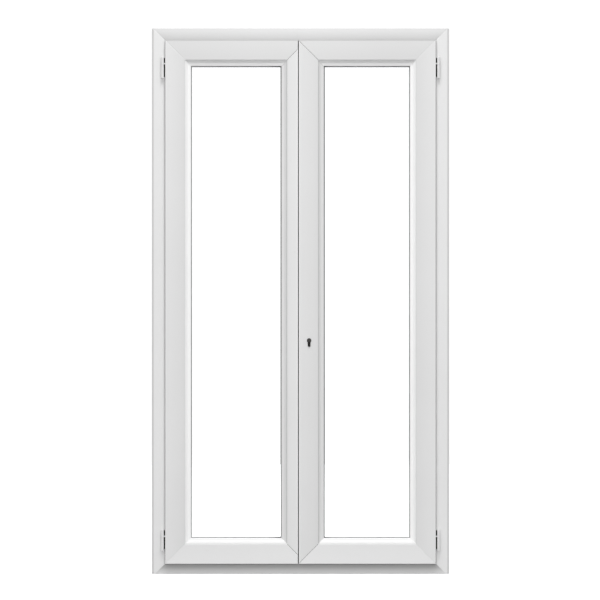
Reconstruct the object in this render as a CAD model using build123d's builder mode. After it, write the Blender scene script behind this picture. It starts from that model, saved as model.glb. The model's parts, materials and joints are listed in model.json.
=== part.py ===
from build123d import *
import os
from math import acos, cos, pi, radians, sin, tan

# Two-leaf PVC casement window, opening into the room: +X to the right, +Y outdoors, +Z up.
# The fixed frame stands on z = 0.  The right leaf is the active one: its lip laps over the left
# leaf.  All dimensions are in millimetres.

os.makedirs("parts", exist_ok=True)

# Overall size
WIDTH = 1200.0
HEIGHT = 2200.0

# Depths, along +Y from the room to the outdoors
FRAME_FACE = -26.5                       # room-side face of the fixed frame
FRAME_DEPTH = 70.0
FRAME_BACK = FRAME_FACE + FRAME_DEPTH
SASH_FACE = FRAME_FACE - 18.0            # room-side face of both leaves
LIP_BACK = FRAME_FACE - 2.0              # back of the lip that laps over the frame
SASH_BACK = FRAME_FACE + 50.0
UPSTAND_FACE = FRAME_FACE + 54.0         # room-side face of the frame's outer upstand
BEAD_BACK = FRAME_FACE + 4.0
GLASS_FACE = FRAME_FACE + 7.0            # room-side face of the inner pane
PANE = 4.0
CAVITY = 16.0
GLASS_BACK = GLASS_FACE + 2 * PANE + CAVITY
FLANGE_FACE = GLASS_BACK + 3.0           # room-side face of the sash's glazing flange
LOCK_Y = FRAME_FACE + 16.0               # middle of the lock case, rods and bolts
AXIS_Y = FRAME_FACE - 9.0                # hinge axis

# Fixed frame, widths seen from the room and laps
JAMB_SEEN = 55.5
HEAD_SEEN = 50.0
SILL_SEEN = 42.0
LIP_LAP = 8.0                            # lip over the frame's face
LIP_REACH = 20.0                         # lip beyond the sash body
UPSTAND = 22.0

# Leaves, face widths
MEETING_X = -6.5                         # edge of the active leaf's lip
MEETING_GAP = 4.0
HINGE_STILE = 80.0
LOCK_STILE = 77.9
LEFT_MEETING_STILE = 43.4
RAIL = 80.0
BEAD_WIDTH = 23.0
GLASS_PLAY = 4.0                         # gap between the glass edge and the sash
FLANGE_WIDTH = 20.0
GASKET_LIP = 3.6                         # gasket seen past the bead's nose

# Hinges
AXIS_X = WIDTH / 2 - JAMB_SEEN + 11.7
HINGE_TOPS = (178.0, 2082.0)
HINGE_HEIGHT = 85.0
BARREL_R = 6.0
PIN_R = 3.5
LEAF_BARREL = 32.0
WASHER = 1.0
STUD_R = 2.6
LEAF_STUD_DROP = 26.0                    # leaf stud below the hinge's top
FRAME_STUD_RISE = 26.0                   # frame stud above the hinge's foot
STUD_DEPTH = 24.0                        # frame stud, past the frame's face
LEAF_STUD_END = 32.0                     # leaf stud, in from the leaf's edge
SOCKET_R = 2.3                           # hexagon sockets for the adjusting key

# Lock
KEY_X = 34.6
KEY_Z = 941.0
HUB_Z = KEY_Z + 92.0
PLUG_R = 6.5
RUNNING = 0.05                           # radial running clearance
BOLT_Z = 969.5
ROD_TRAVEL = 20.0
GROOVE_DEPTH = 6.0
GROOVE_WIDTH = 17.0

# Gearbox: a quarter turn of the pinion moves each rack by ROD_TRAVEL
TEETH = 16
RACK_PITCH = 4 * ROD_TRAVEL / TEETH
PITCH_R = TEETH * RACK_PITCH / (2 * pi)
PRESSURE = radians(20.0)
BASE_R = PITCH_R * cos(PRESSURE)
ADDENDUM = 1.3
DEDENDUM = 1.6
TOOTH_HALF = 1.1                         # half a tooth at the pitch line, with backlash

# Fixing holes through the jambs
FIXING_R = 4.25
FIXING_Z = (200.0, 800.0, 1400.0, 2000.0)
FIXING_Y = FRAME_FACE + 39.0

SCORE_WIDTH = 3.2                        # V-groove that scores a welded corner
SCORE_DEPTH = 0.7
FAR = 300.0                              # well past any member

# Rectangles are (x0, x1, z0, z1)
FRAME_OUTER = (-WIDTH / 2, WIDTH / 2, 0.0, HEIGHT)


def inset(rect, amount):
    """A rectangle with every side moved inwards."""
    x0, x1, z0, z1 = rect
    return x0 + amount, x1 - amount, z0 + amount, z1 - amount


LEAVES_X = WIDTH / 2 - JAMB_SEEN
LEAF_BOTTOM = SILL_SEEN
LEAF_TOP = HEIGHT - HEAD_SEEN
REBATE = (-LEAVES_X + LIP_LAP, LEAVES_X - LIP_LAP, LEAF_BOTTOM + LIP_LAP, LEAF_TOP - LIP_LAP)

RIGHT_FACE = (MEETING_X, LEAVES_X, LEAF_BOTTOM, LEAF_TOP)
RIGHT_BODY = inset(RIGHT_FACE, LIP_REACH)
RIGHT_OPENING = (
    MEETING_X + LOCK_STILE,
    LEAVES_X - HINGE_STILE,
    LEAF_BOTTOM + RAIL,
    LEAF_TOP - RAIL,
)
LEFT_FACE = (-LEAVES_X, MEETING_X - MEETING_GAP, LEAF_BOTTOM, LEAF_TOP)
LEFT_SIDE = MEETING_X + LIP_LAP          # side face of the left leaf, under the active leaf's lip
LEFT_BODY = (-LEAVES_X + LIP_REACH, LEFT_SIDE, LEAF_BOTTOM + LIP_REACH, LEAF_TOP - LIP_REACH)
LEFT_OPENING = (
    -LEAVES_X + HINGE_STILE,
    LEFT_FACE[1] - LEFT_MEETING_STILE,
    RIGHT_OPENING[2],
    RIGHT_OPENING[3],
)
RIGHT_SIDE = RIGHT_BODY[0]               # side face of the active leaf


def save(builder, label):
    """Label a finished piece and write it."""
    builder.part.label = label
    export_step(builder.part, f"parts/{label}.step")


def block(x0, x1, y0, y1, z0, z1, mode=Mode.ADD):
    """A box between two corners, in the part that is open."""
    with Locations(((x0 + x1) / 2, (y0 + y1) / 2, (z0 + z1) / 2)):
        Box(x1 - x0, y1 - y0, z1 - z0, mode=mode)


def rod_along_y(x, z, radius, y0, y1, mode=Mode.ADD):
    with Locations(Location((x, (y0 + y1) / 2, z), (90, 0, 0))):
        Cylinder(radius, y1 - y0, mode=mode)


def rod_along_x(y, z, radius, x0, x1, mode=Mode.ADD):
    with Locations(Location(((x0 + x1) / 2, y, z), (0, 90, 0))):
        Cylinder(radius, x1 - x0, mode=mode)


def rod_along_z(x, y, radius, z0, z1, mode=Mode.ADD):
    with Locations((x, y, (z0 + z1) / 2)):
        Cylinder(radius, z1 - z0, mode=mode)


def hex_socket(x, y, z0, z1):
    """A hexagon socket along Z, cut from the part that is open."""
    with BuildSketch(Plane.XY.offset(z0)) as hexagon:
        with Locations((x, y)):
            RegularPolygon(SOCKET_R, 6)
    extrude(hexagon.sketch, amount=z1 - z0, mode=Mode.SUBTRACT)


def ring(outer, inner, y0, y1, mode=Mode.ADD):
    """A rectangular ring between two rectangles, from y0 to y1, in the part that is open."""
    with BuildSketch(Plane.XZ.offset(-y0)) as outline:
        for rect, sketch_mode in ((outer, Mode.ADD), (inner, Mode.SUBTRACT)):
            with Locations(((rect[0] + rect[1]) / 2, (rect[2] + rect[3]) / 2)):
                Rectangle(rect[1] - rect[0], rect[3] - rect[2], mode=sketch_mode)
    extrude(outline.sketch, amount=-(y1 - y0), mode=mode)


def mitre_outline(opening, side, inward, outward):
    """The trapezoid that one member of a mitred ring may fill, as (x, z) points."""
    x0, x1, z0, z1 = opening
    i, o = inward, outward
    return {
        "top": [(x0 + i, z1 - i), (x1 - i, z1 - i), (x1 + o, z1 + o), (x0 - o, z1 + o)],
        "bottom": [(x0 + i, z0 + i), (x1 - i, z0 + i), (x1 + o, z0 - o), (x0 - o, z0 - o)],
        "left": [(x0 + i, z0 + i), (x0 + i, z1 - i), (x0 - o, z1 + o), (x0 - o, z0 - o)],
        "right": [(x1 - i, z0 + i), (x1 - i, z1 - i), (x1 + o, z1 + o), (x1 + o, z0 - o)],
    }[side]


def score_mitres(opening, y, inward):
    """Shallow V-grooves along the four welded corners of a ring, on the face at y."""
    x0, x1, z0, z1 = opening
    corners = ((x0, z0, -1, -1), (x1, z0, 1, -1), (x1, z1, 1, 1), (x0, z1, -1, 1))
    half = SCORE_WIDTH / 2
    for x, z, way_x, way_z in corners:
        start = (x - way_x * inward, y, z - way_z * inward)
        along = Plane(origin=start, x_dir=(way_z, 0, -way_x), z_dir=(way_x, 0, way_z))
        with BuildSketch(along) as diamond:
            with BuildLine():
                Polyline((-half, 0), (0, -SCORE_DEPTH), (half, 0), (0, SCORE_DEPTH), close=True)
            make_face()
        extrude(diamond.sketch, amount=(FAR + inward) * 2**0.5, mode=Mode.SUBTRACT)


def save_members(stock, opening, inward, labels):
    """Cut a mitred ring into its four members at 45 degrees through the opening's corners."""
    for side, label in labels.items():
        with BuildPart() as member:
            add(stock)
            with BuildSketch(Plane.XZ):
                with BuildLine():
                    Polyline(*mitre_outline(opening, side, inward, FAR), close=True)
                make_face()
            extrude(amount=FAR, both=True, mode=Mode.INTERSECT)
        save(member, label)


def euro_profile(grow, y):
    """Euro-cylinder outline at y: a 17 mm circle over a 10 mm leg, 33 mm tall, grown all round."""
    leg_height = 24.5 + grow
    with BuildSketch(Plane.XZ.offset(-y)) as profile:
        with Locations((KEY_X, KEY_Z)):
            Circle(8.5 + grow)
        with Locations((KEY_X, KEY_Z - leg_height / 2)):
            Rectangle(10.0 + 2 * grow, leg_height)
        fillet([v for v in profile.vertices() if v.Y < KEY_Z - 20.0], 3.0)
    return profile.sketch


# ---------------------------------------------------------------- fixed frame

KEEP_Y = (FRAME_FACE + 4.0, FRAME_FACE + 28.0)
TIP_SLOT_Y = (LOCK_Y - 7.5, LOCK_Y + 7.5)
TIP_SLOT_DEPTH = 18.0
RIGHT_TIP = (RIGHT_SIDE + 0.5, RIGHT_SIDE + 5.5)
LEFT_TIP = (LEFT_SIDE - 5.7, LEFT_SIDE - 0.7)
DRAIN_X = (-380.0, 0.0, 380.0)
DRAIN_Z = 22.0
SKIN = 3.5                               # outer walls of the frame's extrusion
ROOM_CHAMBER_Y = (FRAME_FACE + 3.0, FRAME_FACE + 22.0)
STEEL_CHAMBER_Y = (FRAME_FACE + 26.0, FRAME_FACE + 52.0)
BACK_CHAMBER_Y = (UPSTAND_FACE + 3.0, FRAME_BACK - 3.0)
FRAME_MEMBERS = {
    "top": "frame_head",
    "bottom": "frame_sill",
    "left": "frame_left_jamb",
    "right": "frame_right_jamb",
}

with BuildPart() as frame_stock:
    ring(FRAME_OUTER, REBATE, FRAME_FACE, FRAME_BACK)
    ring(FRAME_OUTER, inset(REBATE, UPSTAND), UPSTAND_FACE, FRAME_BACK)
    room_edges = frame_stock.faces().sort_by(Axis.Y)[0].outer_wire().edges()
    back_edges = frame_stock.faces().sort_by(Axis.Y)[-1].edges()
    fillet(room_edges, 2.5)
    fillet(back_edges, 1.5)
    # chambers of the extrusion: room side, reinforcement and outdoor side
    ring(inset(FRAME_OUTER, SKIN), inset(REBATE, -SKIN), *ROOM_CHAMBER_Y, Mode.SUBTRACT)
    ring(inset(FRAME_OUTER, 6.0), inset(REBATE, -5.0), *STEEL_CHAMBER_Y, Mode.SUBTRACT)
    ring(inset(FRAME_OUTER, SKIN), inset(REBATE, UPSTAND - SKIN), *BACK_CHAMBER_Y, Mode.SUBTRACT)
    for side in (-1, 1):
        jamb = sorted((side * REBATE[1] - side, side * WIDTH / 2 + side))
        pocket = sorted((side * (AXIS_X - 4.0), side * (LEAVES_X - 1.0)))
        for z in FIXING_Z:
            rod_along_x(FIXING_Y, z, FIXING_R, *jamb, Mode.SUBTRACT)
        for top in HINGE_TOPS:
            base = top - HINGE_HEIGHT
            z = base + FRAME_STUD_RISE
            stud_y = (FRAME_FACE - 1, FRAME_FACE + STUD_DEPTH)
            rod_along_y(side * AXIS_X, z, STUD_R, *stud_y, Mode.SUBTRACT)
            # routed pocket behind the barrel, open to the room-side chamber
            block(*pocket, FRAME_FACE - 1, ROOM_CHAMBER_Y[0] + 1, base + 6, top - 2, Mode.SUBTRACT)
    for z0, z1 in (
        (REBATE[3] - 1, REBATE[3] + TIP_SLOT_DEPTH),
        (REBATE[2] - TIP_SLOT_DEPTH, REBATE[2] + 1),
    ):
        block(RIGHT_TIP[0] - 1, RIGHT_TIP[1] + 1, *TIP_SLOT_Y, z0, z1, Mode.SUBTRACT)
        block(LEFT_TIP[0] - 1, LEFT_TIP[1] + 1, *TIP_SLOT_Y, z0, z1, Mode.SUBTRACT)
    for x in DRAIN_X:
        slot_z = (DRAIN_Z - 2.5, DRAIN_Z + 2.5)
        block(x - 14, x + 14, FRAME_BACK - 6, FRAME_BACK + 1, *slot_z, Mode.SUBTRACT)
    score_mitres(REBATE, FRAME_FACE, UPSTAND)
    score_mitres(REBATE, FRAME_BACK, UPSTAND + 2)
save_members(frame_stock.part, REBATE, UPSTAND + 20, FRAME_MEMBERS)


def save_reinforcement(label, outer, inner, y0, y1, opening, cut_outs):
    """Four galvanised channels, open towards the outdoors, one in each member of a ring."""
    wall = 1.5
    with BuildPart() as channels:
        ring(outer, inner, y0, y1)
        ring(inset(outer, wall), inset(inner, -wall), y0 + wall, y1 + 1, Mode.SUBTRACT)
        x0, x1, z0, z1 = opening
        # square-cut ends, clear of the mitres
        for cx0, cx1 in ((outer[0] - 1, x0 + 12), (x1 - 12, outer[1] + 1)):
            block(cx0, cx1, y0 - 1, y1 + 2, outer[2] - 1, z0 + 12, Mode.SUBTRACT)
            block(cx0, cx1, y0 - 1, y1 + 2, z1 - 12, outer[3] + 1, Mode.SUBTRACT)
        for corners in cut_outs:
            block(*corners, Mode.SUBTRACT)
    save(channels, label)


fixing_cuts = [
    (side * WIDTH / 2 - 70, side * WIDTH / 2 + 70, FIXING_Y - 5, FIXING_Y + 5, z - 5, z + 5)
    for side in (-1, 1)
    for z in FIXING_Z
]
save_reinforcement(
    "frame_reinforcements",
    inset(FRAME_OUTER, 6.3),
    inset(REBATE, -5.3),
    FRAME_FACE + 26.3,
    FRAME_FACE + 51.7,
    inset(REBATE, -8),
    fixing_cuts,
)

with BuildPart() as frame_seal:
    ring(inset(REBATE, 14.5), inset(REBATE, 20.5), UPSTAND_FACE - 3.4, UPSTAND_FACE)
    ridge = frame_seal.faces().sort_by(Axis.Y)[0].edges()
    fillet(ridge, 1.2)
save(frame_seal, "frame_seal")

for label, z0, z1 in (
    ("head_keep", REBATE[3] - 2.5, REBATE[3]),
    ("sill_keep", REBATE[2], REBATE[2] + 2.5),
):
    with BuildPart() as keep:
        block(-24.0, 42.0, *KEEP_Y, z0, z1)
        fillet(keep.edges().filter_by(Axis.Z), 4.0)
        block(RIGHT_TIP[0] - 1, RIGHT_TIP[1] + 1, *TIP_SLOT_Y, z0 - 1, z1 + 1, Mode.SUBTRACT)
        block(LEFT_TIP[0] - 1, LEFT_TIP[1] + 1, *TIP_SLOT_Y, z0 - 1, z1 + 1, Mode.SUBTRACT)
        for x in (-17.0, 34.0):
            rod_along_z(x, LOCK_Y, 2.2, z0 - 1, z1 + 1, Mode.SUBTRACT)
    save(keep, label)

with BuildPart() as drain_caps:
    for x in DRAIN_X:
        block(x - 24, x + 24, FRAME_BACK, FRAME_BACK + 4, DRAIN_Z - 8, DRAIN_Z + 8)
    fillet(drain_caps.faces().sort_by(Axis.Y)[-3:].edges(), 1.8)
    for x in DRAIN_X:
        # the hood is open underneath, with a way through to the sill's slot
        block(x - 20, x + 20, FRAME_BACK - 1, FRAME_BACK + 2.4, DRAIN_Z - 9, DRAIN_Z + 4, Mode.SUBTRACT)
save(drain_caps, "drain_caps")

# ---------------------------------------------------------------- hinges

for side, name in ((-1, "left"), (1, "right")):
    x = side * AXIS_X
    with BuildPart() as frame_halves:
        for top in HINGE_TOPS:
            base = top - HINGE_HEIGHT
            joint_z = top - LEAF_BARREL - WASHER - 0.3
            rod_along_z(x, AXIS_Y, BARREL_R, base, joint_z)
        fillet(frame_halves.edges().filter_by(GeomType.CIRCLE), 1.2)
        for top in HINGE_TOPS:
            base = top - HINGE_HEIGHT
            rod_along_y(x, base + FRAME_STUD_RISE, STUD_R, AXIS_Y, FRAME_FACE + STUD_DEPTH)
            rod_along_z(x, AXIS_Y, PIN_R, base + 12.0, top, Mode.SUBTRACT)
            hex_socket(x, AXIS_Y, base - 1, base + 6.0)
    save(frame_halves, f"{name}_hinge_frame_halves")

    with BuildPart() as leaf_halves:
        for top in HINGE_TOPS:
            rod_along_z(x, AXIS_Y, BARREL_R, top - LEAF_BARREL, top)
        fillet(leaf_halves.edges().filter_by(GeomType.CIRCLE), 1.2)
        for top in HINGE_TOPS:
            ends = sorted((x, side * (LEAVES_X - LEAF_STUD_END)))
            rod_along_x(AXIS_Y, top - LEAF_STUD_DROP, STUD_R, *ends)
            bore = PIN_R + RUNNING
            rod_along_z(x, AXIS_Y, bore, top - LEAF_BARREL - 1, top - 6.0, Mode.SUBTRACT)
            hex_socket(x, AXIS_Y, top - 4.0, top + 1)
    save(leaf_halves, f"{name}_hinge_leaf_halves")

with BuildPart() as hinge_pins:
    for side in (-1, 1):
        for top in HINGE_TOPS:
            rod_along_z(side * AXIS_X, AXIS_Y, PIN_R, top - HINGE_HEIGHT + 12.0, top - 7.0)
save(hinge_pins, "hinge_pins")

with BuildPart() as hinge_washers:
    for side in (-1, 1):
        for top in HINGE_TOPS:
            base = top - LEAF_BARREL - WASHER - 0.3
            rod_along_z(side * AXIS_X, AXIS_Y, BARREL_R - 0.6, base, base + WASHER)
            rod_along_z(side * AXIS_X, AXIS_Y, PIN_R, base - 1, base + WASHER + 1, Mode.SUBTRACT)
save(hinge_washers, "hinge_washers")

# ---------------------------------------------------------------- leaves

CHAMBER_Y = (FRAME_FACE - 4.0, FRAME_FACE + 26.0)
GROOVE_Y = (LOCK_Y - GROOVE_WIDTH / 2, LOCK_Y + GROOVE_WIDTH / 2)
CASE = (RIGHT_SIDE + GROOVE_DEPTH, 54.0, LOCK_Y - 7.0, LOCK_Y + 7.0, 905.0, 1075.0)
CASE_PLAY = 0.5                          # between the lock case and its pocket, up and down
BOLT_HALF_HEIGHT = 12.0
LEAF_WALL = 4.0                          # walls between a leaf's chambers and its openings


def leaf_stock(face, neck, body, opening):
    """The solid rings of one leaf: lip, body and glazing flange, with its chambers taken out."""
    lip_chamber_y = (SASH_FACE + 3.0, FRAME_FACE - 7.0)
    flange_chamber_y = (FLANGE_FACE + 3.0, SASH_BACK - 3.0)
    beside_opening = inset(opening, -LEAF_WALL)
    with BuildPart() as stock:
        ring(face, opening, SASH_FACE, LIP_BACK)
        front = stock.faces().sort_by(Axis.Y)[0]
        fillet(front.outer_wire().edges(), 2.0)
        fillet(stock.faces().sort_by(Axis.Y)[0].inner_wires()[0].edges(), 1.5)
        ring(neck, opening, LIP_BACK, FRAME_FACE)
        ring(body, opening, FRAME_FACE, SASH_BACK)
        ring(body, inset(opening, FLANGE_WIDTH), FLANGE_FACE, SASH_BACK)
        back = stock.faces().sort_by(Axis.Y)[-1]
        fillet(back.inner_wires()[0].edges(), 3.0)
        ring(inset(neck, 5.0), beside_opening, *lip_chamber_y, Mode.SUBTRACT)
        ring(inset(neck, 8.0), beside_opening, *CHAMBER_Y, Mode.SUBTRACT)
        ring(
            inset(body, LEAF_WALL),
            inset(opening, FLANGE_WIDTH - LEAF_WALL),
            *flange_chamber_y,
            Mode.SUBTRACT,
        )
    return stock.part


# The bead's outline: a step down from the sash, a slope, a flat nose and a drop to the glass.
# Each corner is (distance in from the opening, y, corner radius).
BEAD_CORNERS = [
    (0.2, BEAD_BACK, 0.0),
    (0.2, FRAME_FACE - 15.0, 0.0),
    (2.6, FRAME_FACE - 15.0, 1.5),
    (12.5, FRAME_FACE - 8.0, 6.0),
    (BEAD_WIDTH, FRAME_FACE - 6.5, 2.0),
    (BEAD_WIDTH, FRAME_FACE + 1.0, 0.0),
    (BEAD_WIDTH - 3.0, BEAD_BACK, 0.0),
]


def bead_corners(side, opening):
    """The bead's corners in the sketch that its side of the opening uses, each with its radius."""
    place = {
        "left": lambda u, y: (opening[0] + u, y),
        "right": lambda u, y: (opening[1] - u, y),
        "bottom": lambda u, y: (y, opening[2] + u),
        "top": lambda u, y: (y, opening[3] - u),
    }[side]
    return [(place(u, y), radius) for u, y, radius in BEAD_CORNERS]


def save_beads(label, opening, sides):
    """Glazing beads with mitred ends, snapped into the sash on the room side."""
    x0, x1, z0, z1 = opening
    vertical = sides[0] in ("left", "right")
    plane = Plane.XY.offset(z0) if vertical else Plane.YZ.offset(x0)
    length = z1 - z0 if vertical else x1 - x0
    with BuildPart() as beads:
        for side in sides:
            with BuildSketch(plane) as section:
                corners = bead_corners(side, opening)
                with BuildLine():
                    Polyline(*[point for point, radius in corners], close=True)
                make_face()
                for point, radius in corners:
                    if radius:
                        fillet(section.vertices().sort_by_distance(point)[0], radius)
            extrude(amount=length)
        with BuildSketch(Plane.XZ):
            for side in sides:
                with BuildLine():
                    Polyline(*mitre_outline(opening, side, BEAD_WIDTH + 8, 5), close=True)
                make_face()
        extrude(amount=FAR, both=True, mode=Mode.INTERSECT)
    save(beads, label)


def save_pane(label, rect, y0):
    with BuildPart() as pane:
        block(rect[0], rect[1], y0, y0 + PANE, rect[2], rect[3])
        chamfer(pane.edges().filter_by(Axis.Y), 1.0)
    save(pane, label)


def save_glazing(name, opening):
    """Double glazing with its spacer, gaskets and packers."""
    edge = inset(opening, GLASS_PLAY)
    save_pane(f"{name}_inner_pane", edge, GLASS_FACE)
    save_pane(f"{name}_outer_pane", edge, GLASS_BACK - PANE)
    with BuildPart() as spacer:
        ring(inset(edge, 2.0), inset(edge, 14.0), GLASS_FACE + PANE, GLASS_BACK - PANE)
    save(spacer, f"{name}_spacer_bar")
    with BuildPart() as bead_gasket:
        ring(inset(opening, 15.0), inset(opening, BEAD_WIDTH + GASKET_LIP), BEAD_BACK, GLASS_FACE)
    save(bead_gasket, f"{name}_bead_gasket")
    with BuildPart() as outer_gasket:
        ring(inset(opening, 10.0), inset(opening, FLANGE_WIDTH + 1.6), GLASS_BACK, FLANGE_FACE)
    save(outer_gasket, f"{name}_outer_gasket")
    x0, x1, z0, z1 = opening
    packer_y = (GLASS_FACE + 1, GLASS_BACK - 1)
    with BuildPart() as packers:
        for x in (x0 + 60, x1 - 160):
            block(x, x + 100, *packer_y, z0, z0 + GLASS_PLAY)
        block(x0, x0 + GLASS_PLAY, *packer_y, z0 + 60, z0 + 160)
        block(x1 - GLASS_PLAY, x1, *packer_y, z1 - 160, z1 - 60)
    save(packers, f"{name}_glazing_packers")


# the active, right leaf
right_rings = leaf_stock(RIGHT_FACE, RIGHT_BODY, RIGHT_BODY, RIGHT_OPENING)
with BuildPart() as right_stock:
    add(right_rings)
    # hardware groove down the lock stile, then the lock pocket and the cylinder's way through
    groove_end = RIGHT_SIDE + GROOVE_DEPTH
    block(RIGHT_SIDE - 1, groove_end, *GROOVE_Y, RIGHT_BODY[2] - 1, RIGHT_BODY[3] + 1, Mode.SUBTRACT)
    block(
        groove_end - 1,
        CASE[1] + 0.2,
        CASE[2] - 0.2,
        CASE[3] + 0.2,
        CASE[4] - CASE_PLAY,
        CASE[5] + CASE_PLAY,
        Mode.SUBTRACT,
    )
    extrude(euro_profile(0.6, SASH_FACE - 1), amount=-(SASH_BACK - SASH_FACE + 2), mode=Mode.SUBTRACT)
    for top in HINGE_TOPS:
        ends = (LEAVES_X - LEAF_STUD_END, LEAVES_X + 1)
        rod_along_x(AXIS_Y, top - LEAF_STUD_DROP, STUD_R, *ends, Mode.SUBTRACT)
    score_mitres(RIGHT_OPENING, SASH_FACE, 1)
    score_mitres(RIGHT_OPENING, SASH_BACK, FLANGE_WIDTH + 2)
RIGHT_MEMBERS = {
    "top": "right_top_rail",
    "bottom": "right_bottom_rail",
    "left": "right_lock_stile",
    "right": "right_hinge_stile",
}
save_members(right_stock.part, RIGHT_OPENING, FLANGE_WIDTH + 20, RIGHT_MEMBERS)
save_reinforcement(
    "right_leaf_reinforcements",
    inset(RIGHT_BODY, 8.3),
    inset(RIGHT_OPENING, -4.3),
    CHAMBER_Y[0] + 0.3,
    CHAMBER_Y[1] - 0.3,
    inset(RIGHT_OPENING, -8),
    [(0, CASE[1] + 2, SASH_FACE, SASH_BACK, CASE[4] - 5, CASE[5] + 5)],
)
save_beads("right_rail_beads", RIGHT_OPENING, ("bottom", "top"))
save_beads("right_lock_stile_bead", RIGHT_OPENING, ("left",))
save_beads("right_hinge_stile_bead", RIGHT_OPENING, ("right",))
save_glazing("right", RIGHT_OPENING)

SEAL_Y = (LIP_BACK, LIP_BACK + 1.4)
SEAL_OUT = 1.0                           # seal seen past the edge of the lip
with BuildPart() as right_leaf_seal:
    ring(inset(RIGHT_FACE, -SEAL_OUT), inset(RIGHT_FACE, 6.0), *SEAL_Y)
save(right_leaf_seal, "right_leaf_seal")

# the left leaf, held by the right one, with the shooting bolts in its edge
left_neck = (LEFT_BODY[0], LEFT_FACE[1], LEFT_BODY[2], LEFT_BODY[3])
left_rings = leaf_stock(LEFT_FACE, left_neck, LEFT_BODY, LEFT_OPENING)
with BuildPart() as left_stock:
    add(left_rings)
    groove_end = LEFT_SIDE - GROOVE_DEPTH
    block(groove_end, LEFT_SIDE + 1, *GROOVE_Y, LEFT_BODY[2] - 1, LEFT_BODY[3] + 1, Mode.SUBTRACT)
    pocket_z = (BOLT_Z - BOLT_HALF_HEIGHT - 2, BOLT_Z + BOLT_HALF_HEIGHT + 2)
    block(groove_end - 1.5, groove_end + 1, LOCK_Y - 6.5, LOCK_Y + 6.5, *pocket_z, Mode.SUBTRACT)
    for top in HINGE_TOPS:
        ends = (-LEAVES_X - 1, -LEAVES_X + LEAF_STUD_END)
        rod_along_x(AXIS_Y, top - LEAF_STUD_DROP, STUD_R, *ends, Mode.SUBTRACT)
    score_mitres(LEFT_OPENING, SASH_FACE, 1)
    score_mitres(LEFT_OPENING, SASH_BACK, FLANGE_WIDTH + 2)
LEFT_MEMBERS = {
    "top": "left_top_rail",
    "bottom": "left_bottom_rail",
    "left": "left_hinge_stile",
    "right": "left_meeting_stile",
}
save_members(left_stock.part, LEFT_OPENING, FLANGE_WIDTH + 20, LEFT_MEMBERS)
save_reinforcement(
    "left_leaf_reinforcements",
    inset(left_neck, 8.3),
    inset(LEFT_OPENING, -4.3),
    CHAMBER_Y[0] + 0.3,
    CHAMBER_Y[1] - 0.3,
    inset(LEFT_OPENING, -8),
    [],
)
save_beads("left_rail_beads", LEFT_OPENING, ("bottom", "top"))
save_beads("left_hinge_stile_bead", LEFT_OPENING, ("left",))
save_beads("left_meeting_stile_bead", LEFT_OPENING, ("right",))
save_glazing("left", LEFT_OPENING)

ASTRAGAL = (LEFT_SIDE - 26.5, LEFT_SIDE + 20.0)
ASTRAGAL_Z = (REBATE[2] + UPSTAND + 3.0, REBATE[3] - UPSTAND - 3.0)
ASTRAGAL_BACK = SASH_BACK + 16.0
with BuildPart() as left_leaf_seals:
    # three sides of the lip, and a strip on the astragal for the active leaf to close on
    ring(inset(LEFT_FACE, -SEAL_OUT), inset(LEFT_FACE, 6.0), *SEAL_Y)
    block(LEFT_FACE[1] - 8, LEFT_FACE[1] + 1, SEAL_Y[0] - 1, SEAL_Y[1] + 1, 0, HEIGHT, Mode.SUBTRACT)
    block(LEFT_SIDE + 13.0, LEFT_SIDE + 18.0, UPSTAND_FACE - 3.4, UPSTAND_FACE, *ASTRAGAL_Z)
save(left_leaf_seals, "left_leaf_seals")

with BuildPart() as astragal:
    block(*ASTRAGAL, SASH_BACK, ASTRAGAL_BACK, *ASTRAGAL_Z)
    fillet(astragal.faces().sort_by(Axis.Y)[-1].edges().filter_by(Axis.Z), 4.0)
    block(LEFT_SIDE, ASTRAGAL[1] + 1, SASH_BACK - 1, UPSTAND_FACE, 0, HEIGHT, Mode.SUBTRACT)
    block(ASTRAGAL[0] + 3, LEFT_SIDE - 3, SASH_BACK + 3, ASTRAGAL_BACK - 3, 0, HEIGHT, Mode.SUBTRACT)
    block(LEFT_SIDE, ASTRAGAL[1] - 3, UPSTAND_FACE + 3, ASTRAGAL_BACK - 3, 0, HEIGHT, Mode.SUBTRACT)
save(astragal, "astragal")

# ---------------------------------------------------------------- lock in the active leaf

PLATE = 2.5                              # faceplate thickness
PLATE_Z = (110.0, 2090.0)
ROD_X = (RIGHT_SIDE + PLATE + 0.3, RIGHT_SIDE + PLATE + 2.8)
ROD_Y = (LOCK_Y - 8.0, LOCK_Y + 8.0)
TIP_Y = (LOCK_Y - 6.0, LOCK_Y + 6.0)
TIP_ENDS = (REBATE[2] + 4.0, REBATE[3] - 4.0)
TIP_LENGTH = 30.0
CASE_WALL = 1.5
MOUTH_Y = (LOCK_Y - 5.4, LOCK_Y + 5.4)
RACK_Y = (LOCK_Y - 4.0, LOCK_Y + 4.0)
RACK_REST = RACK_PITCH / 2 + TOOTH_HALF + DEDENDUM * tan(PRESSURE)
RACK_FOOT = HUB_Z - ROD_TRAVEL - RACK_REST   # lower end of the upper rod's rack, at rest
ARM = 5.0                                # arm that carries the lower rod's rack past the pinion
ARM_TOP = RACK_FOOT - 0.5
SCREW_R = 2.1
SCREW_HEAD_R = 4.0


def pinion_half_angle(radius):
    """Half the angle that one involute tooth spans at a radius."""
    at_base = TOOTH_HALF / PITCH_R + tan(PRESSURE) - PRESSURE
    slope = acos(min(1.0, BASE_R / radius))
    return at_base - (tan(slope) - slope)


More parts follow.
